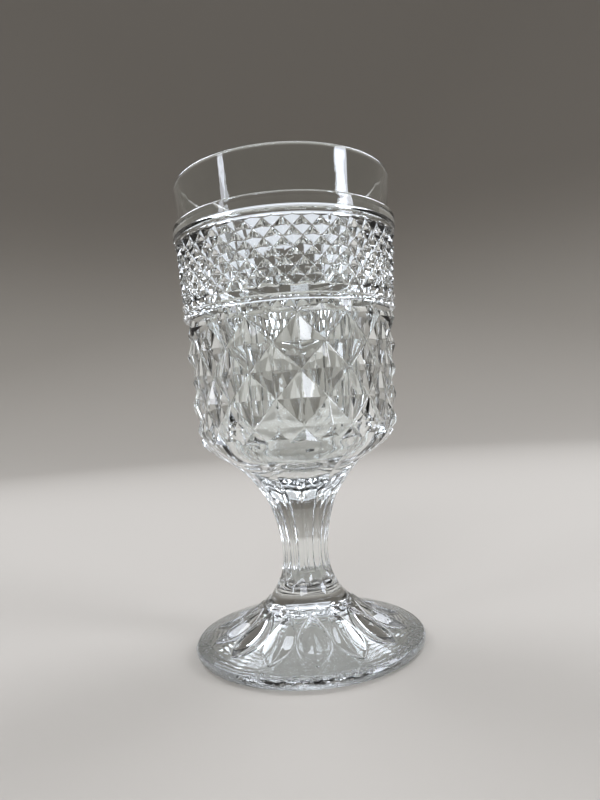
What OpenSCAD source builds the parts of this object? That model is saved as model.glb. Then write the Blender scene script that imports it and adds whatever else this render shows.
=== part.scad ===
// Stemmed water goblet of pressed clear glass. The bowl has a plain lip, a band of small
// diamond points between two turned rings, a band of large diamonds and a fluted calyx.
// A waisted, fluted stem carries it, and a round foot with pressed petals stands on Z = 0.
// Diamonds and flutes repeat around the axis in the same columns, so their edges line up.

/* [Pattern] */
// Large diamonds and flutes around the goblet
columns = 13; // [12:1:16]
// Small diamonds to each large one
small_per_column = 3; // [2:1:4]
// Petals around the foot
petals = 14; // [12:1:16]
// Turn of the diamonds and flutes about the axis, in degrees
pattern_turn = 5.7; // [0:0.1:25]
// Turn of the petals about the axis, in degrees
petal_turn = 3.8; // [0:0.1:25]

/* [Lip] */
// Outside diameter of the lip
lip_d = 78.8; // [77:0.2:81]
// Thickness of the wall at the lip
lip_wall = 2.4; // [1.8:0.1:3]
// How far the foot of the plain band stands in from the lip
plain_band_in = 1.2; // [0.2:0.1:1.8]
// Height of the plain band
plain_band_h = 15.6; // [11:0.2:20]

/* [Upper ring] */
// How far the upper ring stands out beyond the lip
upper_ring_out = 1.3; // [1:0.1:2.4]
// Height of the upper ring
upper_ring_h = 7.4; // [6:0.2:9]
// Height of the bead under the upper ring
upper_bead_h = 2.6; // [2:0.1:3.2]

/* [Small diamonds] */
// How far the points at the top of the small band stand out beyond the lip
small_top_out = 0.7; // [0.2:0.1:1]
// How far the points at the bottom of the small band stand in from the lip
small_bottom_in = 0.6; // [0.1:0.1:1.4]
// Height of the small band
small_band_h = 21.4; // [17:0.2:26]
// Half diamonds up the small band
small_rows = 7; // [5:1:9]
// Depth of the grooves between the small diamonds
small_depth = 1.6; // [0.8:0.1:2]

/* [Lower ring] */
// How far the lower ring stands in from the lip
lower_ring_in = 0.5; // [0.1:0.1:1.1]
// Height of the lower ring
lower_ring_h = 6; // [5:0.2:8]
// Height of the bead in the lower ring
lower_bead_h = 2.4; // [1.8:0.1:3]
// How far the groove under the lower ring stands in from the lip
lower_groove_in = 2.4; // [1.5:0.1:2.9]

/* [Large diamonds] */
// How far the points at the top of the large band stand in from the lip
large_top_in = 0.8; // [0.2:0.1:1.4]
// How far the points at the bottom of the large band stand in from the lip
large_bottom_in = 2.4; // [1.8:0.1:3]
// Height of the large band
large_band_h = 40.4; // [34:0.2:46]
// Half diamonds up the large band
large_rows = 4; // [2:2:6]
// Height of the bevel that trims the large band under the lower ring
large_bevel_h = 2.2; // [1.6:0.1:3]
// Height of the shoulder under the middle of the lowest diamonds
shoulder_h = 2.4; // [1.6:0.1:4]
// Depth of the grooves between the large diamonds
large_depth = 3; // [2:0.1:3.4]

/* [Inside of the bowl] */
// Thickness of the wall in the grooves at the foot of the large band
shoulder_wall = 6; // [4.5:0.1:8]
// Thickness of the glass under the middle of the bowl
floor_t = 15.5; // [11:0.5:19]
// Height of the rounded bottom of the cavity
cavity_round_h = 17; // [12:0.5:22]

/* [Calyx] */
// How far the arrises stand in from the lip where they flare out to the shoulder
shoulder_in = 2.3; // [1.9:0.1:2.6]
// Height of the calyx, from the stem to the shoulder
calyx_h = 27; // [23:0.5:31]
// Depth of the flutes under the shoulder
calyx_flute_depth = 1.5; // [0.6:0.1:1.8]

/* [Stem] */
// Height of the stem
stem_h = 34; // [26:0.5:44]
// Diameter of the stem where it meets the bowl, over the arrises
stem_top_d = 23.4; // [20:0.2:27]
// Diameter at the waist, over the arrises
stem_waist_d = 16.8; // [14:0.2:19]
// Height of the waist over the foot
stem_waist_h = 17; // [13:0.5:21]
// How far the stem stands in from the edge of the hub
stem_base_in = 0.7; // [0.5:0.1:2.5]
// Depth of the flutes in the stem
stem_flute_depth = 0.75; // [0.4:0.05:1]
// Height of the plain skirt under the flutes of the stem
skirt_h = 7; // [4:0.5:10]

/* [Foot] */
// Diameter of the foot
foot_d = 83; // [81:0.5:90]
// Height of the hub that carries the stem
hub_h = 16; // [13:0.5:19]
// Diameter of the hub
hub_d = 31; // [30.4:0.2:33]
// Thickness of the foot where its sweep meets the rounded edge
edge_h = 3.8; // [3.2:0.1:5]
// Depth of the hollow sweep from the edge up to the hub
sweep_depth = 2.2; // [1:0.1:2.8]
// Height at which the edge is widest
edge_widest_h = 2.2; // [1.6:0.1:2.8]
// How far the flat ring that rests on the table stands in from the edge
rest_in = 2; // [1.5:0.1:4]
// Width of the flat ring that rests on the table
rest_w = 4; // [3:0.1:6]
// Thickness of the glass between the stem and the crown of the hollow under the foot
crown_wall = 2.6; // [1.6:0.1:3.2]
// How far in from the edge the petals end
petal_end_in = 6.5; // [5.5:0.1:8.5]
// How far out from the hub the petals begin
petal_start_out = 1.5; // [1:0.1:3.5]
// Width of a petal at its middle
petal_w = 10.4; // [8:0.1:11]
// Depth of a petal at its middle
petal_depth = 1.7; // [1:0.1:2]

/* [Smoothness] */
// Sides of every turned round
$fn = 168; // [84:28:252]
// Steps in the section of a rounded edge
edge_steps = 8; // [4:1:12]
// Steps across one flute
flute_steps = 4; // [4:2:6]
// Levels up each fluted length
flute_levels = 18; // [12:1:22]

/* [Hidden] */

// Heights of the stack, from the table up
stem_z = hub_h;
calyx_z = stem_z + stem_h;
large_z = calyx_z + calyx_h;
lower_ring_z = large_z + large_band_h;
small_z = lower_ring_z + lower_ring_h;
upper_ring_z = small_z + small_band_h;
plain_z = upper_ring_z + upper_ring_h;
rim_z = plain_z + plain_band_h;

// Radii that several members share
lip_r = lip_d/2;
plain_band_r = lip_r - plain_band_in;
upper_ring_r = lip_r + upper_ring_out;
small_top_r = lip_r + small_top_out;
small_bottom_r = lip_r - small_bottom_in;
lower_ring_r = lip_r - lower_ring_in;
lower_groove_r = lip_r - lower_groove_in;
large_top_r = lip_r - large_top_in;
large_bottom_r = lip_r - large_bottom_in;
shoulder_r = lip_r - shoulder_in;
stem_top_r = stem_top_d/2;
stem_waist_r = stem_waist_d/2;
hub_r = hub_d/2;
stem_base_r = hub_r - stem_base_in;
foot_r = foot_d/2;
foot_shoulder_r = foot_r - rest_in;

// The foot sweeps up from its edge to the hub along one arc
sweep_reach = foot_shoulder_r - hub_r;
sweep_rise = hub_h - edge_h;
sweep_chord = norm([sweep_reach, sweep_rise]);
sweep_r = sweep_chord*sweep_chord/8/sweep_depth + sweep_depth/2;
sweep_far = (sweep_r - sweep_depth)/sweep_chord;
sweep_x = hub_r + sweep_reach/2 + sweep_far*sweep_rise;
sweep_z = edge_h + sweep_rise/2 + sweep_far*sweep_reach;

// The lip is round but for a narrow flat on its crest
lip_flat_share = 1/6;
lip_round = lip_wall*(1 - lip_flat_share)/2;

// Where each bead runs into its ring, in degrees from its middle, and how far it is set back
upper_bead_turn = 60;
upper_bead_in_share = 1/4;
lower_bead_turn = 75;
lower_bead_rise_share = 0.45;

// Inside radii of the cavity at the lip and over its rounded bottom
cavity_top_r = lip_r - lip_wall;
cavity_low_r = large_bottom_r - large_depth - shoulder_wall;
cavity_floor_z = calyx_z + floor_t;
cavity_low_z = cavity_floor_z + cavity_round_h;

// How far one member of the bowl runs into the next, so that they are one piece of glass
overlap = lip_wall/4;

// The calyx's outline from the stem to the shoulder: how far up, and how far out
calyx_rise_shares = [0, 0.1, 0.21, 0.32, 0.43, 0.545, 0.64, 0.715, 0.815, 0.89, 0.95, 1];
calyx_reach_shares = [0, 0.047, 0.114, 0.2, 0.29, 0.416, 0.553, 0.683, 0.825, 0.897, 0.935, 1];

// How sharply the stem flares above and below its waist
upper_flare_share = 1.75;
lower_flare_share = 2.3;

// Share of the way to its neighbour that a petal's wheel may fill, and how deep its edge is
petal_slice_share = 0.96;
petal_bite_share = 1.5;

// The hollow under the foot follows the sweep down from the hub to the rest ring
rest_inner_r = foot_shoulder_r - rest_w;

// Points of an arc in the section plane
function arc(centre, radius, from, to) = [
    for (i = [0:edge_steps])
        let (a = from + (to - from)*i/edge_steps)
        centre + radius*[cos(a), sin(a)]
];

// A point at a radius, an angle and a height
function polar(r, a, z) = [r*cos(a), r*sin(a), z];

// Angle of arris number i, counted in columns from the front of the goblet
function column_angle(i) = pattern_turn - 90 + i*360/columns;

// How far a flute is sunk between two arrises, at a share u of its width
function sunk(depth, u) = depth*4*u*(1 - u);

// Closed skin through rings of points, from the lowest ring to the highest.
// The quads of a flute are split alike on both sides of its middle. Where crossed is true,
// neighbouring quads are split along opposite diagonals instead, and a quad whose level
// and place add up with the phase to an even number rises.
module skin(rings, crossed = false, phase = 0) {
    count = len(rings[0]);
    levels = len(rings);
    sides = [
        for (level = [0:levels - 2], i = [0:count - 1])
            let (a = level*count + i)
            let (b = level*count + (i + 1)%count)
            let (rising = crossed ? (level + i + phase)%2 == 0 : i%flute_steps*2 < flute_steps)
            each rising
                ? [[a, b + count, b], [a, a + count, b + count]]
                : [[a, a + count, b], [b, a + count, b + count]]
    ];
    bottom = [for (i = [0:count - 1]) i];
    top = [for (i = [count - 1:-1:0]) (levels - 1)*count + i];
    polyhedron([for (ring = rings) each ring], concat(sides, [bottom, top]));
}

// A ring of points round a fluted section, with its arrises at radius r
function fluted_ring(r, depth, z) = [
    for (i = [0:columns*flute_steps - 1])
        let (u = (i%flute_steps)/flute_steps)
        polar(r - sunk(depth, u), column_angle(i/flute_steps), z)
];

// One level of a diamond band: points and groove corners take turns round it
function diamond_ring(row, r, depth, per_column, z) = [
    for (i = [0:2*columns*per_column - 1])
        polar(r - ((i + row)%2 == 0 ? depth : 0), column_angle(i/2/per_column), z)
];

// A drum of pyramids whose points lie on a cone. An even phase lays the grooves' crossings
// of the lowest row on the columns, an odd one lays the points there.
// It has one more row than it shows at each end, and a root that runs down to root_z.
module diamond_drum(
    rows, bottom_z, top_z, bottom_r, top_r, depth, per_column, phase, root_z
) {
    half = (top_z - bottom_z)/rows;
    taper = (top_r - bottom_r)/rows;
    skin(concat(
        [diamond_ring(phase - 1, bottom_r - taper, depth, per_column, root_z)],
        [
            for (row = [-1:rows + 1])
                diamond_ring(
                    row + phase, bottom_r + taper*row, depth, per_column, bottom_z + half*row
                )
        ]
    ), crossed = true, phase = phase);
}

// Small diamonds between the two rings
module small_band() {
    intersection() {
        diamond_drum(
            small_rows, small_z, upper_ring_z,
            small_bottom_r, small_top_r,
            small_depth, small_per_column, (small_rows + 1)%2, lower_ring_z
        );
        translate([0, 0, small_z - overlap])
            cylinder(h = small_band_h + 2*overlap, r = upper_ring_r);
    }
}

// Large diamonds, trimmed by a bevel under the ring and by the fluted calyx below
module large_band_and_calyx() {
    low_z = large_z + shoulder_h;
    high_z = lower_ring_z - large_bevel_h;
    clear = large_depth/2;
    bevel_low_r = large_top_r + overlap/2;
    bevel_high_r = lower_groove_r + overlap;
    bevel_steep = large_bevel_h/(bevel_low_r - bevel_high_r);
    intersection() {
        diamond_drum(
            large_rows, low_z, high_z, large_bottom_r, large_top_r,
            large_depth, 1, large_rows%2, calyx_z - overlap
        );
        skin(concat(
            calyx_rings(),
            [
                fluted_ring(large_bottom_r + clear, 0, low_z),
                fluted_ring(bevel_low_r + clear, 0, high_z - clear*bevel_steep),
                fluted_ring(bevel_high_r, 0, lower_ring_z)
            ]
        ));
    }
}

// Plain lip and the upper ring, turned in one
module lip_and_upper_ring() {
    ring_round = upper_bead_h/3;
    bead_r = upper_bead_h/2;
    ring_z = upper_ring_z + upper_bead_h;
    bead_x = upper_ring_r - bead_r*(1 + upper_bead_in_share);
    rotate_extrude()
        polygon(concat(
            [[0, upper_ring_z], [upper_ring_r - 2*bead_r, upper_ring_z]],
            arc([bead_x, upper_ring_z + bead_r], bead_r, -90, upper_bead_turn),
            arc([upper_ring_r - ring_round, ring_z + ring_round], ring_round, -upper_bead_turn, 0),
            arc([upper_ring_r - ring_round, plain_z - ring_round], ring_round, 0, 90),
            [[plain_band_r, plain_z]],
            arc([lip_r - lip_round, rim_z - lip_round], lip_round, 0, 90),
            [[0, rim_z]]
        ));
}

// Lower ring: a cove, a bead and a groove
module lower_ring() {
    bead_r = lower_bead_h/2;
    bead_z = lower_ring_z + lower_ring_h*lower_bead_rise_share;
    cove_r = small_bottom_r + overlap/2;
    root_z = lower_ring_z - overlap;
    rotate_extrude()
        polygon(concat(
            [[0, root_z], [lower_groove_r, root_z]],
            [[lower_groove_r, bead_z - bead_r]],
            arc([lower_ring_r - bead_r, bead_z], bead_r, -lower_bead_turn, lower_bead_turn),
            [[cove_r, small_z], [0, small_z]]
        ));
}

// Fluted calyx that gathers the bowl into the stem
function calyx_rings() = [
    for (i = [0:len(calyx_rise_shares) - 1])
        let (reach = calyx_reach_shares[i])
        let (r = stem_top_r + (shoulder_r - stem_top_r)*reach)
        let (depth = stem_flute_depth + (calyx_flute_depth - stem_flute_depth)*reach)
        fluted_ring(r, depth, calyx_z + calyx_h*calyx_rise_shares[i])
];

// Inside of the bowl: a tapered drum with a rounded bottom and an eased mouth
module cavity() {
    rotate_extrude()
        polygon(concat(
            [
                for (i = [0:2*edge_steps])
                    let (a = -90 + 90*i/2/edge_steps)
                    [cavity_low_r*cos(a), cavity_low_z + cavity_round_h*sin(a)]
            ],
            arc([cavity_top_r + lip_round, rim_z - lip_round], -lip_round, 0, -90),
            [[lip_r - lip_wall/2, rim_z + overlap], [0, rim_z + overlap]]
        ));
}

module bowl() {
    color([0.86, 0.92, 0.91, 0.6])
        difference() {
            union() {
                lip_and_upper_ring();
                small_band();
                lower_ring();
                large_band_and_calyx();
            }
            cavity();
        }
}

// Radius of the stem's arrises at a height over the foot
function stem_r(h) =
    h > stem_waist_h
        ? stem_waist_r + (stem_top_r - stem_waist_r)
            *pow((h - stem_waist_h)/(stem_h - stem_waist_h), upper_flare_share)
        : stem_waist_r + (stem_base_r - stem_waist_r)
            *pow((stem_waist_h - h)/stem_waist_h, lower_flare_share);

// Waisted stem with a sharp arris between each pair of flutes, and a plain skirt below them
module stem() {
    fade_h = skirt_h/3;
    color([0.84, 0.91, 0.9, 0.6])
        skin([
            for (level = [0:flute_levels])
                let (h = stem_h*level/flute_levels)
                let (share = min(1, max(0, h - skirt_h)/fade_h))
                fluted_ring(stem_r(h), stem_flute_depth*sqrt(share), stem_z + h)
        ]);
}

// Height of the foot's upper face at a radius
function foot_top(r) = sweep_z - sqrt(sweep_r*sweep_r - pow(sweep_x - r, 2));

// One petal: a wheel with a sharp edge, sunk into the sweep of the foot. Only its slice
// of the foot is kept, so that it stays clear of its neighbours.
module petal_cutter() {
    inner = hub_r + petal_start_out;
    outer = foot_r - petal_end_in;
    middle = (inner + outer)/2;
    fall = foot_top(inner) - foot_top(outer);
    slope = atan2(fall, outer - inner);
    chord = (outer - inner)/cos(slope);
    chord_z = (foot_top(inner) + foot_top(outer))/2;
    sweep = (chord_z - foot_top(middle))*cos(slope);
    sink = sweep + petal_depth;
    wheel_r = chord*chord/8/sink + sink/2;
    bite = sink*petal_bite_share;
    side = bite*petal_w/2/petal_depth;
    out = wheel_r - sink;
    slice_far = foot_d;
    slice_w = slice_far*tan(180*petal_slice_share/petals);
    intersection() {
        translate([middle + out*sin(slope), 0, chord_z + out*cos(slope)])
            rotate([90, 0, 0])
                rotate_extrude()
                    polygon([
                        [0, -side], [wheel_r - bite, -side], [wheel_r, 0],
                        [wheel_r - bite, side], [0, side]
                    ]);
        linear_extrude(hub_h + foot_d)
            polygon([[0, 0], [slice_far, -slice_w], [slice_far, slice_w]]);
    }
}

// Section of the foot before its petals are cut
module foot_section() {
    hollow_wall = foot_top(rest_inner_r);
    crown_z = hub_h - hollow_wall;
    crown_rise = hollow_wall - crown_wall;
    difference() {
        polygon(concat(
            [
                for (i = [0:edge_steps - 1])
                    let (out_share = i/edge_steps)
                    [hub_r*out_share, crown_z + crown_rise*(1 - out_share*out_share)]
            ],
            [
                for (i = [0:edge_steps])
                    let (r = hub_r + (rest_inner_r - hub_r)*i/edge_steps)
                    [r, foot_top(r) - hollow_wall]
            ],
            [
                for (i = [0:edge_steps])
                    let (a = -90 + 90*i/edge_steps)
                    let (reach = rest_in*cos(a))
                    [foot_shoulder_r + reach, edge_widest_h*(1 + sin(a))]
            ],
            [
                for (i = [1:edge_steps])
                    let (a = 90*i/edge_steps)
                    let (reach = rest_in*cos(a))
                    let (rise = (edge_h - edge_widest_h)*sin(a))
                    [foot_shoulder_r + reach, edge_widest_h + rise]
            ],
            [[hub_r, hub_h], [0, hub_h]]
        ));
        intersection() {
            translate([sweep_x, sweep_z])
                circle(r = sweep_r);
            square([foot_shoulder_r, sweep_z]);
        }
    }
}

// Round foot: a swept top with petals, a rounded edge and a hollow underside
module foot() {
    color([0.82, 0.9, 0.89, 0.6])
        difference() {
            rotate_extrude()
                foot_section();
            for (i = [0:petals - 1])
                rotate([0, 0, petal_turn - 90 + i*360/petals])
                    petal_cutter();
        }
}

bowl();
stem();
foot();
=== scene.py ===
import math

import bmesh
import bpy
from mathutils import Matrix, Vector


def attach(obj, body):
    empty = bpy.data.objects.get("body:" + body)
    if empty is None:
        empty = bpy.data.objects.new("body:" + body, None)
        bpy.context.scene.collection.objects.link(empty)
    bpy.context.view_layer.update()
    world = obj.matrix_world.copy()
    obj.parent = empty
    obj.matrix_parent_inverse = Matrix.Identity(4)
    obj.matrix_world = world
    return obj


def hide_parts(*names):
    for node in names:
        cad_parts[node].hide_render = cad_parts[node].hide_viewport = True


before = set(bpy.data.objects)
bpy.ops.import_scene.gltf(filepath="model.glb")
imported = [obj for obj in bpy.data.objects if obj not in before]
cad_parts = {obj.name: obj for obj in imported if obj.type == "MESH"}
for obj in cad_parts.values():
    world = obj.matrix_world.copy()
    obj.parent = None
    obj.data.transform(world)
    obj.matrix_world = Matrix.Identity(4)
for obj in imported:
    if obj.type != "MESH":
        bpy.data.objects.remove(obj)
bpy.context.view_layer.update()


# The foot: a round plate of pressed glass that sweeps up to a hub. The mould sinks a ring
# of pointed petals into it, each a valley of two facets with a fine rim, and scallops the
# hub's edge. Its underside is hollow, so that it rests on a flat ring near the edge.

# Lengths are in millimetres until a piece is finished, and then become metres. Angles and
# turns are in radians, but for those that a name or a comment gives in degrees.
METRE = 1000
NEAR = 0.001  # two places closer than this are one
FRONT = math.radians(-90)
ARC_STEPS = 14  # steps in a quarter of a rounded edge

hub_r, hub_z, hub_round = 15.5, 16.0, 0.7
hub_meets = 20  # degrees up the hub's rounding, where the top of the foot runs into it
stem_base_r = 14.8
foot_r, edge_r, edge_top_z, edge_wide_z = 41.5, 39.5, 3.8, 2.2
rest_r, crown_wall = 35.5, 2.6
sweep_depth = 2.2
petals, petal_turn = 14, math.radians(3.8) + FRONT  # the turn is that of a petal's middle
half_petal = math.pi / petals
petal_in, petal_out, petal_w, petal_depth = 17.0, 35.0, 10.4, 1.7
valley_round, brim_round = 0.12, 0.12
rim_h, rim_w = 0.35, 0.65
scallop_depth, scallop_out = 0.6, 19.0
foot_crease = 35  # degrees

FOOT_STEPS = petals * 44  # sides of the foot, close enough to draw the rims
CROWN_RINGS, HOLLOW_RINGS, TOP_RINGS = 6, 10, 112
EDGE_STEPS, HUB_STEPS = 7, 5


def spaced(start, end, steps):
    """Places from start to end, both included, in even steps."""
    return [start + (end - start) * i / steps for i in range(steps + 1)]


def arc(x, z, reach, rise, start, end, steps=ARC_STEPS):
    """Points of an arc in a half section, with its angles in degrees."""
    turns = (math.radians(degrees) for degrees in spaced(start, end, steps))
    return [(x + reach * math.cos(a), z + rise * math.sin(a)) for a in turns]


def turned(section, steps, first_turn):
    """Spins a half section of (radius, height) into a closed solid."""
    shape = bmesh.new()
    line = [shape.verts.new((r, 0, z)) for r, z in section]
    edges = [shape.edges.new(pair) for pair in zip(line, line[1:])]
    bmesh.ops.spin(
        shape, geom=line + edges, cent=(0, 0, 0), axis=(0, 0, 1),
        angle=math.tau, steps=steps, use_merge=True,
    )
    bmesh.ops.remove_doubles(shape, verts=shape.verts, dist=0.0001)
    bmesh.ops.rotate(
        shape, cent=(0, 0, 0), matrix=Matrix.Rotation(first_turn, 3, "Z"), verts=shape.verts
    )
    bmesh.ops.recalc_face_normals(shape, faces=shape.faces)
    return shape


def solid(shape, name):
    """Makes an object of a finished shape."""
    mesh = bpy.data.meshes.new(name)
    shape.to_mesh(mesh)
    shape.free()
    piece = bpy.data.objects.new(name, mesh)
    bpy.context.collection.objects.link(piece)
    return piece


def sweep_circle():
    """Centre and radius of the arc from the edge of the foot up to the hub."""
    run, rise = edge_r - hub_r, hub_z - edge_top_z
    chord = math.hypot(run, rise)
    radius = chord ** 2 / 8 / sweep_depth + sweep_depth / 2
    far = (radius - sweep_depth) / chord
    return hub_r + run / 2 + far * rise, edge_top_z + rise / 2 + far * run, radius


sweep_x, sweep_z, sweep_r = sweep_circle()


def foot_top(r):
    """Height of the foot's top at a radius, before the petals are sunk into it."""
    return sweep_z - math.sqrt(sweep_r ** 2 - (sweep_x - r) ** 2)


hollow_wall = foot_top(rest_r)


def hollow_top(r):
    """Height of the hollow: it follows the foot's top, and arches into a crown at the hub."""
    if r < hub_r:
        return hub_z - hollow_wall + (hollow_wall - crown_wall) * (1 - (r / hub_r) ** 2)
    return foot_top(r) - hollow_wall


def upper_side(r, z):
    """Whether a place is on the foot's upper side, and not on its hollow."""
    return z > foot_top(max(r, hub_r)) - hollow_wall / 2


def off_petal(x, y):
    """Turn from the middle of the nearest petal to a place."""
    return (math.atan2(y, x) - petal_turn + half_petal) % (2 * half_petal) - half_petal


def petal_sink(r, turn):
    """How deep the mould sinks the foot at a radius, a turn away from a petal's middle. Below
    zero is the rim, which stands up along the petal's brim."""
    share = (r * math.cos(turn) - petal_in) / (petal_out - petal_in)
    bed = petal_depth * 4 * share * (1 - share)
    side = math.hypot(r * math.sin(turn), valley_round) - valley_round
    steep = petal_depth / (petal_w / 2)
    sink = bed - side * steep
    rim = rim_h * math.exp(-(sink / steep / rim_w) ** 2) if 0 < share < 1 else 0
    return (sink + math.hypot(sink, brim_round)) / 2 - rim


hollow_radii = spaced(0, hub_r, CROWN_RINGS)[:-1] + spaced(hub_r, rest_r, HOLLOW_RINGS)
edge_w, joint_flat_r = foot_r - edge_r, stem_base_r - hub_round / 4
foot_shape = turned(
    [(r, hollow_top(r)) for r in hollow_radii]
    + arc(edge_r, edge_wide_z, edge_w, edge_wide_z, -90, 0, EDGE_STEPS)
    + arc(edge_r, edge_wide_z, edge_w, edge_top_z - edge_wide_z, 0, 90, EDGE_STEPS)[1:]
    + [(r, foot_top(r)) for r in spaced(edge_r, hub_r, TOP_RINGS)[1:-1]]
    + arc(hub_r - hub_round, hub_z - hub_round, hub_round, hub_round, hub_meets, 90, HUB_STEPS)
    + [(joint_flat_r, hub_z), (0, hub_z)],
    FOOT_STEPS, petal_turn,
)
petal_slope = math.atan2(foot_top(petal_in) - foot_top(petal_out), petal_out - petal_in)
for v in foot_shape.verts:
    r = math.hypot(v.co.x, v.co.y)
    if not stem_base_r <= r <= edge_r or not upper_side(r, v.co.z):
        continue
    turn = off_petal(v.co.x, v.co.y)
    bite = scallop_depth * (1 - (turn / half_petal) ** 2)
    if r < hub_r:
        bite *= (r - stem_base_r) / (hub_r - stem_base_r)
    else:
        bite *= max(0, (scallop_out - r) / (scallop_out - hub_r)) ** 2
    sink = petal_sink(r, turn)
    inward = (r - bite - sink * math.sin(petal_slope)) / r
    v.co = (v.co.x * inward, v.co.y * inward, v.co.z - sink * math.cos(petal_slope))
foot = solid(foot_shape, "foot_glass")


def linear(hex_colour):
    """An sRGB hex colour as the linear values that shaders use."""
    shares = [int(hex_colour[i:i + 2], 16) / 255 for i in (1, 3, 5)]
    return [s / 12.92 if s <= 0.04045 else ((s + 0.055) / 1.055) ** 2.4 for s in shares] + [1]


def add_node(tree, kind, settings=(), links=()):
    """Adds a node with its settings and with links from other nodes' sockets."""
    node = tree.nodes.new(kind)
    for name, value in dict(settings).items():
        if name in node.inputs:
            node.inputs[name].default_value = value
        else:
            setattr(node, name, value)
    for name, source in dict(links).items():
        tree.links.new(source, node.inputs[name])
    return node


def bare_material(name):
    """An empty material and its nodes."""
    material = bpy.data.materials.new(name)
    material.use_nodes = True
    material.node_tree.nodes.clear()
    return material, material.node_tree


def soda_lime_glass(name, roughness):
    """Clear, faintly green table glass. Gives the material, its nodes, the place on the piece
    and the socket for the pattern that the mould left."""
    material, tree = bare_material(name)
    place = add_node(tree, "ShaderNodeTexCoord")
    glass = add_node(
        tree, "ShaderNodeBsdfPrincipled",
        {
            "Base Color": linear("#FAFDFC"), "Roughness": roughness, "IOR": 1.52,
            "Transmission Weight": 1.0,
        },
    )
    add_node(tree, "ShaderNodeOutputMaterial", (), {"Surface": glass.outputs["BSDF"]})
    return material, tree, place.outputs["Object"], glass.inputs["Normal"]


def pressed_glass():
    """Pressed in an iron mould and fire-polished. The polish leaves the glass clear and glossy
    with soft waves 11 mm long, and faint chill marks 2.2 mm long from the mould."""
    wave_gap, mark_gap = 11, 2.2
    material, tree, place, normal = soda_lime_glass("pressed_soda_lime_glass", 0.0)
    waves = add_node(
        tree, "ShaderNodeTexNoise",
        {"Scale": METRE / wave_gap, "Detail": 1.0, "Roughness": 0.4}, {"Vector": place},
    )
    marks = add_node(
        tree, "ShaderNodeTexNoise",
        {"Scale": METRE / mark_gap, "Detail": 2.0, "Roughness": 0.5}, {"Vector": place},
    )
    wavy = add_node(
        tree, "ShaderNodeBump", {"Strength": 0.35, "Distance": 0.4 / METRE},
        {"Height": waves.outputs["Fac"]},
    )
    chilled = add_node(
        tree, "ShaderNodeBump", {"Strength": 0.12, "Distance": 0.1 / METRE},
        {"Height": marks.outputs["Fac"], "Normal": wavy.outputs["Normal"]},
    )
    tree.links.new(chilled.outputs["Normal"], normal)
    return material


def stippled_glass():
    """The rest ring and the edge above it, where the mould is stippled to hide wear. Its dots
    scatter the light, so that the glass looks milky. They are drawn 0.7 mm apart, coarser
    than real dots, to show at all."""
    dot_gap = 0.7
    material, tree, place, normal = soda_lime_glass("stippled_soda_lime_glass", 0.18)
    dots = add_node(
        tree, "ShaderNodeTexVoronoi", {"Scale": METRE / dot_gap}, {"Vector": place}
    )
    stipple = add_node(
        tree, "ShaderNodeBump", {"Strength": 0.8, "Distance": 0.3 / METRE},
        {"Height": dots.outputs["Distance"]},
    )
    tree.links.new(stipple.outputs["Normal"], normal)
    return material


def rippled_glass():
    """The lands between the petals and the top of the edge, where the cooler mould leaves
    wavy, concentric ripples 1.6 mm apart that break up the light."""
    ripple_gap = 1.6
    one_wave = math.tau / 20  # length of a Wave texture's wave at a scale of 1
    material, tree, place, normal = soda_lime_glass("rippled_soda_lime_glass", 0.0)
    rings = add_node(
        tree, "ShaderNodeTexWave",
        {
            "wave_type": "RINGS", "rings_direction": "Z",
            "Scale": one_wave * METRE / ripple_gap,
            "Distortion": 5.0, "Detail": 2.0, "Detail Scale": 0.9,
        },
        {"Vector": place},
    )
    ripples = add_node(
        tree, "ShaderNodeBump", {"Strength": 1.0, "Distance": 0.13 / METRE},
        {"Height": rings.outputs["Fac"]},
    )
    tree.links.new(ripples.outputs["Normal"], normal)
    return material


def fused_joint():
    """The face where two parts of the goblet were fused. The glass runs on through it, so
    nothing shows there."""
    material, tree = bare_material("fused_joint")
    gone = add_node(
        tree, "ShaderNodeBsdfPrincipled", {"Base Color": linear("#FFFFFF"), "Alpha": 0.0}
    )
    add_node(tree, "ShaderNodeOutputMaterial", (), {"Surface": gone.outputs["BSDF"]})
    return material


pressed, fused = pressed_glass(), fused_joint()
stippled, rippled = stippled_glass(), rippled_glass()
PRESSED, FUSED, STIPPLED, RIPPLED = range(4)  # a piece's faces name its materials so


def finish_piece(piece, node, joints, crease):
    """Puts a finished solid in metres in place of its node. A joint is a height and a radius:
    the faces of the solid at that height and within that radius are see-through."""
    mesh = piece.data
    mesh.materials.clear()
    mesh.materials.append(pressed)
    mesh.materials.append(fused)
    for face in mesh.polygons:
        corners = [mesh.vertices[i].co for i in face.vertices]
        at_joint = any(
            all(abs(c.z - z) < NEAR and math.hypot(c.x, c.y) < r + NEAR for c in corners)
            for z, r in joints
        )
        face.material_index = FUSED if at_joint else PRESSED
        face.use_smooth = True
    mesh.set_sharp_from_angle(angle=math.radians(crease))
    mesh.transform(Matrix.Scale(1 / METRE, 4))
    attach(piece, "root")
    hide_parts(node)


finish_piece(foot, "foot", [(hub_z, stem_base_r)], foot_crease)
foot.data.materials.append(stippled)
foot.data.materials.append(rippled)
stipple_r, land_sink = edge_r + 0.3, 0.1
for face in foot.data.polygons:
    x, y, z = face.center * METRE
    r = math.hypot(x, y)
    on_top = r > edge_r or r > hub_r and upper_side(r, z)
    if face.material_index == FUSED:
        continue
    if z < NEAR or r > stipple_r and z < edge_wide_z:
        face.material_index = STIPPLED
    elif on_top and abs(petal_sink(r, off_petal(x, y))) < land_sink:
        face.material_index = RIPPLED


# The stem: a waisted column of the same glass, with a shallow flute for each column of
# the bowl. The flutes run out above a plain skirt, which is fused to the hub.

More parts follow.
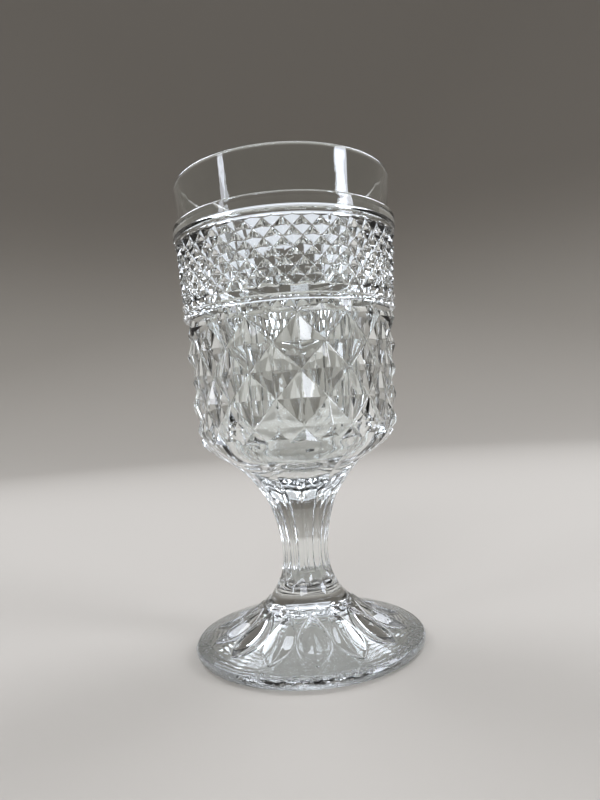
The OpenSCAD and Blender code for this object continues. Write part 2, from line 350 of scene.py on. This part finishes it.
COLUMNS = 13  # large diamonds and flutes around the goblet
COLUMN_STEPS = 14  # sides of a turned form within one column
ROUND_STEPS = COLUMNS * COLUMN_STEPS
COLUMN_TURN = math.radians(5.7) + FRONT  # the first arris, just right of the front
STEM_RINGS = 68

stem_h, stem_waist_h, skirt_h = 34.0, 17.0, 7.0
stem_top_r, stem_waist_r = 11.7, 8.4
top_flare, base_flare = 1.75, 2.3  # powers: the higher, the closer to its end a flare starts
stem_flute_depth, flute_run_out = 0.75, skirt_h / 3
arris_round, cut_crease = 0.15, 10  # the crease in degrees
calyx_z = hub_z + stem_h


def ringed(rings, steps, radius):
    """Closed solid of rings. radius(ring, i) gives the reach of each of a ring's points."""
    shape = bmesh.new()
    layer = shape.verts.layers.int.new("place")
    bmesh.ops.create_circle(shape, segments=steps, radius=1)
    bmesh.ops.rotate(
        shape, cent=(0, 0, 0), matrix=Matrix.Rotation(-math.pi / 2, 3, "Z"), verts=shape.verts
    )
    verts, edges = shape.verts[:], shape.edges[:]
    for level, ring in enumerate(rings):
        if level:
            made = bmesh.ops.extrude_edge_only(shape, edges=edges)["geom"]
            verts = [g for g in made if isinstance(g, bmesh.types.BMVert)]
            edges = [g for g in made if isinstance(g, bmesh.types.BMEdge)]
        for v in verts:
            angle = math.atan2(v.co.y, v.co.x)
            i = round(angle / math.tau * steps) % steps
            r = radius(ring, i)
            v.co = (r * math.cos(angle), r * math.sin(angle), ring[0])
            v[layer] = level * steps + i
    bmesh.ops.holes_fill(shape, edges=shape.edges, sides=0)
    bmesh.ops.recalc_face_normals(shape, faces=shape.faces)
    bmesh.ops.rotate(
        shape, cent=(0, 0, 0), matrix=Matrix.Rotation(COLUMN_TURN, 3, "Z"), verts=shape.verts
    )
    return shape, layer


def soften(shape, edges, width):
    """Rounds edges as fire-polishing does."""
    bmesh.ops.bevel(
        shape, geom=edges, offset=width, offset_type="OFFSET", segments=2, profile=0.5,
        affect="EDGES", clamp_overlap=True, material=-1,
    )


def fluted(rings):
    """Solid with a flute in each column. A ring is its height, its arrises' reach and the
    depth of its flutes."""
    def reach(ring, i):
        share = i % COLUMN_STEPS / COLUMN_STEPS
        return ring[1] - ring[2] * 4 * share * (1 - share)

    shape, layer = ringed(rings, ROUND_STEPS, reach)
    arrises = [
        e for e in shape.edges
        if all(v[layer] % ROUND_STEPS % COLUMN_STEPS == 0 for v in e.verts)
        and e.verts[0][layer] // ROUND_STEPS != e.verts[1][layer] // ROUND_STEPS
    ]
    soften(shape, arrises, arris_round)
    return shape


def stem_ring(h):
    """Ring of the stem at a height above the hub."""
    if h > stem_waist_h:
        share = (h - stem_waist_h) / (stem_h - stem_waist_h)
        r = stem_waist_r + (stem_top_r - stem_waist_r) * share ** top_flare
    else:
        share = (stem_waist_h - h) / stem_waist_h
        r = stem_waist_r + (stem_base_r - stem_waist_r) * share ** base_flare
    fade = min(1, max(0, h - skirt_h) / flute_run_out)
    return hub_z + h, r, stem_flute_depth * math.sqrt(fade)


stem = solid(fluted([stem_ring(h) for h in spaced(0, stem_h, STEM_RINGS)]), "stem_glass")
finish_piece(stem, "stem", [(hub_z, stem_base_r), (calyx_z, stem_top_r)], cut_crease)


# The bowl: one pressed piece. A fluted calyx gathers it into the stem. Above come a band
# of large diamonds, a ring, a band of small diamonds, a wider ring and a plain lip that
# was fire-polished round. The inside is a smooth tapered hollow, left by the plunger.

calyx_h = 27.0
large_z = calyx_z + calyx_h
lower_ring_z, small_z, upper_ring_z, plain_z, rim_z = 117.4, 123.4, 144.8, 152.2, 167.8
overlap = 0.6  # how far one stretch of the bowl reaches into the next before they are joined
shoulder_r, shoulder_h, calyx_flute_depth = 37.1, 2.4, 1.5
large_rows, large_low_r, large_high_r, large_depth, large_round = 4, 37.0, 38.6, 3.0, 0.3
large_bevel_h = 2.2
groove_r, lower_ring_r, lower_bead_h, lower_bead_rise = 37.0, 38.9, 2.4, 2.7
lower_bead_bend = 75  # degrees from the bead's widest place to where it meets the glass
small_rows, small_low_r, small_high_r, small_depth, small_round = 7, 38.8, 40.1, 1.6, 0.16
small_to_large = 3  # small diamonds across a large one
upper_ring_r, upper_bead_h = 40.7, 2.6
plain_r, lip_r, lip_wall = 38.2, 39.4, 2.4
cavity_low_r, cavity_floor_z, cavity_round_h = 28.0, 65.5, 17.0

# How far up the calyx, and how far out from the stem to the shoulder
calyx_shares = [
    (0, 0), (0.1, 0.047), (0.21, 0.114), (0.32, 0.2), (0.43, 0.29), (0.545, 0.416),
    (0.64, 0.553), (0.715, 0.683), (0.815, 0.825), (0.89, 0.897), (0.95, 0.935),
]
CALYX_STEPS = 4  # rings from one of those places to the next


def work(piece, tool, how):
    """Joins, trims or cuts one solid with another, which is used up."""
    step = piece.modifiers.new(how.lower(), "BOOLEAN")
    step.operation, step.solver, step.object = how, "EXACT", tool
    graph = bpy.context.evaluated_depsgraph_get()
    done = bpy.data.meshes.new_from_object(piece.evaluated_get(graph))
    piece.modifiers.clear()
    piece.data = done
    bpy.data.objects.remove(tool)


def smooth_line(points, steps):
    """The points with a smooth curve drawn through them."""
    line = []
    for i in range(len(points) - 1):
        near_points = (points[min(max(i + k, 0), len(points) - 1)] for k in (-1, 0, 1, 2))
        a, b, c, d = (Vector(point) for point in near_points)
        for k in range(steps):
            t = k / steps
            line.append(
                0.5 * (2 * b + (c - a) * t + (2 * a - 5 * b + 4 * c - d) * t ** 2
                       + (3 * b - a - 3 * c + d) * t ** 3)
            )
    return line + [Vector(points[-1])]


def diamonds(rows, low, high, low_r, high_r, depth, across, root_z, width):
    """Drum of pyramids from a low to a high place, with one more row at each end than it
    shows. Their points lie on a cone, there are across of them to a column, and their edges
    are rounded by a width."""
    steps = 2 * COLUMNS * across
    step_h, step_r = (high - low) / rows, (high_r - low_r) / rows
    rings = [(root_z, low_r - step_r, -1)] + [
        (low + step_h * row, low_r + step_r * row, row) for row in range(-1, rows + 2)
    ]

    def crossing(ring, i):
        """Whether two grooves cross there."""
        return (ring[2] + i) % 2 == 0

    shape, layer = ringed(rings, steps, lambda ring, i: ring[1] - depth * crossing(ring, i))
    crossings = [
        v for v in shape.verts
        if v[layer] >= steps and crossing(rings[v[layer] // steps], v[layer] % steps)
    ]
    bmesh.ops.connect_verts(shape, verts=crossings)
    last = len(rings) - 1
    shown = [
        e for e in shape.edges
        if all(v[layer] >= steps for v in e.verts)
        and not all(v[layer] // steps == last for v in e.verts)
        and not all(v[layer] // steps == 1 for v in e.verts)
    ]
    soften(shape, shown, width)
    return shape


# The large diamonds, trimmed to the calyx below them and to the bevels at their ends
low_z, high_z = large_z + shoulder_h, lower_ring_z - large_bevel_h
bevel_low_r, bevel_high_r = large_high_r + overlap / 2, groove_r + overlap
clear = large_depth / 2
bevel_steep = large_bevel_h / (bevel_low_r - bevel_high_r)
calyx_rings = [
    (
        calyx_z + calyx_h * rise,
        stem_top_r + (shoulder_r - stem_top_r) * reach,
        stem_flute_depth + (calyx_flute_depth - stem_flute_depth) * reach,
    )
    for rise, reach in smooth_line(calyx_shares, CALYX_STEPS)
]
envelope = fluted(
    calyx_rings
    + [
        (large_z, shoulder_r, calyx_flute_depth),
        (low_z, large_low_r + clear, 0),
        (high_z - clear * bevel_steep, bevel_low_r + clear, 0),
        (lower_ring_z, bevel_high_r, 0),
    ]
)
large_band = diamonds(
    large_rows, low_z, high_z, large_low_r, large_high_r, large_depth, 1, calyx_z - overlap,
    large_round,
)
bowl = solid(large_band, "bowl_glass")
work(bowl, solid(envelope, "calyx"), "INTERSECT")

# The lower ring: a groove, a bead and a cove
bead_r, bead_z = lower_bead_h / 2, lower_ring_z + lower_bead_rise
lower_ring = turned(
    [
        (0, lower_ring_z - overlap), (groove_r, lower_ring_z - overlap),
        (groove_r, bead_z - bead_r),
    ]
    + arc(lower_ring_r - bead_r, bead_z, bead_r, bead_r, -lower_bead_bend, lower_bead_bend)
    + [(small_low_r + overlap / 2, small_z), (0, small_z)],
    ROUND_STEPS, COLUMN_TURN,
)
work(bowl, solid(lower_ring, "lower_ring"), "UNION")

# The small diamonds, cut off level between the two rings
small_band = diamonds(
    small_rows, small_z, upper_ring_z, small_low_r, small_high_r, small_depth, small_to_large,
    lower_ring_z, small_round,
)
small_band = solid(small_band, "small_band")
between_rings = turned(
    [
        (0, small_z - overlap), (upper_ring_r, small_z - overlap),
        (upper_ring_r, upper_ring_z + overlap), (0, upper_ring_z + overlap),
    ],
    ROUND_STEPS, COLUMN_TURN,
)
work(small_band, solid(between_rings, "between_rings"), "INTERSECT")
work(bowl, small_band, "UNION")

# The upper ring with its bead, and the plain lip above it
ring_round, top_bead_r = upper_bead_h / 3, upper_bead_h / 2
ring_r, ring_z = upper_ring_r - ring_round, upper_ring_z + upper_bead_h
bead_in_r, bead_z = upper_ring_r - 1.25 * top_bead_r, upper_ring_z + top_bead_r
lip_round = (lip_wall - lip_wall / 6) / 2
lip = turned(
    [(0, upper_ring_z), (upper_ring_r - 2 * top_bead_r, upper_ring_z)]
    + arc(bead_in_r, bead_z, top_bead_r, top_bead_r, -90, 60)
    + arc(ring_r, ring_z + ring_round, ring_round, ring_round, -60, 0)
    + arc(ring_r, plain_z - ring_round, ring_round, ring_round, 0, 90)
    + [(plain_r, plain_z)]
    + arc(lip_r - lip_round, rim_z - lip_round, lip_round, lip_round, 0, 90)
    + [(0, rim_z)],
    ROUND_STEPS, COLUMN_TURN,
)
work(bowl, solid(lip, "lip"), "UNION")

# The cavity, with the inner half of the lip's rounding
lip_in_r = lip_r - lip_wall + lip_round
cavity = turned(
    arc(0, cavity_floor_z + cavity_round_h, cavity_low_r, cavity_round_h, -90, 0, 3 * ARC_STEPS)
    + arc(lip_in_r, rim_z - lip_round, lip_round, lip_round, 180, 90)
    + [(lip_r - lip_wall / 2, rim_z + overlap), (0, rim_z + overlap)],
    ROUND_STEPS, COLUMN_TURN,
)
work(bowl, solid(cavity, "cavity"), "DIFFERENCE")
finish_piece(bowl, "bowl", [(calyx_z, stem_top_r)], cut_crease)


# The table: a sheet of plain matt pale board, a few metres across, that curves up into a
# backdrop all round. It grows darker with its height, so that the lip stands out from it.

board_r, board_bend, board_h = 1000, 600, 1700
board_drop = 0.1  # keeps the board clear of the rest ring
dark_from, dark_to = 50, 750  # heights between which the board darkens
BEND_STEPS = 24


def pale_board():
    """Painted board, quite matt, so that it shows no reflection of the lamps."""
    material, tree = bare_material("matt_pale_board")
    place = add_node(tree, "ShaderNodeTexCoord")
    height = add_node(
        tree, "ShaderNodeSeparateXYZ", (), {"Vector": place.outputs["Object"]}
    )
    share = add_node(
        tree, "ShaderNodeMapRange",
        {
            "From Min": dark_from / METRE, "From Max": dark_to / METRE,
            "interpolation_type": "SMOOTHSTEP",
        },
        {"Value": height.outputs["Z"]},
    )
    tone = add_node(
        tree, "ShaderNodeMix",
        {"data_type": "RGBA", "A": linear("#C0BAB0"), "B": linear("#827C73")},
        {"Factor": share.outputs["Result"]},
    )
    paint = add_node(
        tree, "ShaderNodeBsdfPrincipled", {"Roughness": 0.8},
        {"Base Color": tone.outputs["Result"]},
    )
    add_node(tree, "ShaderNodeOutputMaterial", (), {"Surface": paint.outputs["BSDF"]})
    return material


board = turned(
    [(0, -board_drop)]
    + arc(board_r, board_bend - board_drop, board_bend, board_bend, -90, 0, BEND_STEPS)
    + [(board_r + board_bend, board_h)],
    ROUND_STEPS, 0,
)
bmesh.ops.reverse_faces(board, faces=board.faces)
floor = solid(board, "floor")
floor.data.transform(Matrix.Scale(1 / METRE, 4))
floor.data.materials.append(pale_board())
for face in floor.data.polygons:
    face.use_smooth = True


# The studio: pale surroundings and six soft lamps. A narrow window to the left and a wider
# one to the right draw the streaks in the lip, three high ones behind draw the ridges of
# the foot, and one over the camera fills in the front.

lamp_aim = Vector((0, 0, 0.08))  # the middle of the goblet

studio = bpy.data.worlds.new("studio")
bpy.context.scene.world = studio
studio.use_nodes = True
studio.node_tree.nodes.clear()
surround = add_node(
    studio.node_tree, "ShaderNodeBackground", {"Color": linear("#E4E6EA"), "Strength": 0.8}
)
add_node(
    studio.node_tree, "ShaderNodeOutputWorld", (), {"Surface": surround.outputs["Background"]}
)


def softbox(name, place, size, radiance):
    """Hangs a soft lamp of daylight colour at a place in metres and aims it at the goblet."""
    lamp = bpy.data.lights.new(name, "AREA")
    lamp.shape, lamp.size, lamp.size_y = "RECTANGLE", *size
    lamp.energy = radiance * math.prod(size) * math.pi
    lamp.color = linear("#EEF3FF")[:3]
    box = bpy.data.objects.new(name, lamp)
    box.location = place
    box.rotation_euler = (lamp_aim - box.location).to_track_quat("-Z", "Y").to_euler()
    bpy.context.collection.objects.link(box)


softbox("window_left", (-1.0, -0.6, 0.47), (0.12, 0.6), 8)
softbox("window_right", (0.98, -0.45, 0.47), (0.26, 0.6), 12)
softbox("overhead", (0.0, 0.72, 0.78), (0.9, 0.4), 0.8)
softbox("wing_left", (-0.62, 0.47, 0.85), (0.5, 0.5), 7)
softbox("wing_right", (0.62, 0.47, 0.85), (0.5, 0.5), 7)
softbox("over_the_camera", (-0.25, -0.9, 0.75), (0.45, 0.3), 6)


# The camera stands where the photograph was taken, a little over 22 cm in front of the
# goblet's axis and half way up it, turned and tilted slightly. Its places are in metres.

lens = bpy.data.cameras.new("camera")
lens.sensor_fit = "AUTO"
lens.sensor_width = 36.0
lens.lens = 27.22
lens.clip_start = 0.01
camera = bpy.data.objects.new("camera", lens)
camera.location = (0.00694, -0.22396, 0.08444)
camera.rotation_euler = [math.radians(degrees) for degrees in (91.002, 3.817, 1.399)]
bpy.context.collection.objects.link(camera)
bpy.context.scene.camera = camera
bpy.context.scene.view_settings.view_transform = "Standard"
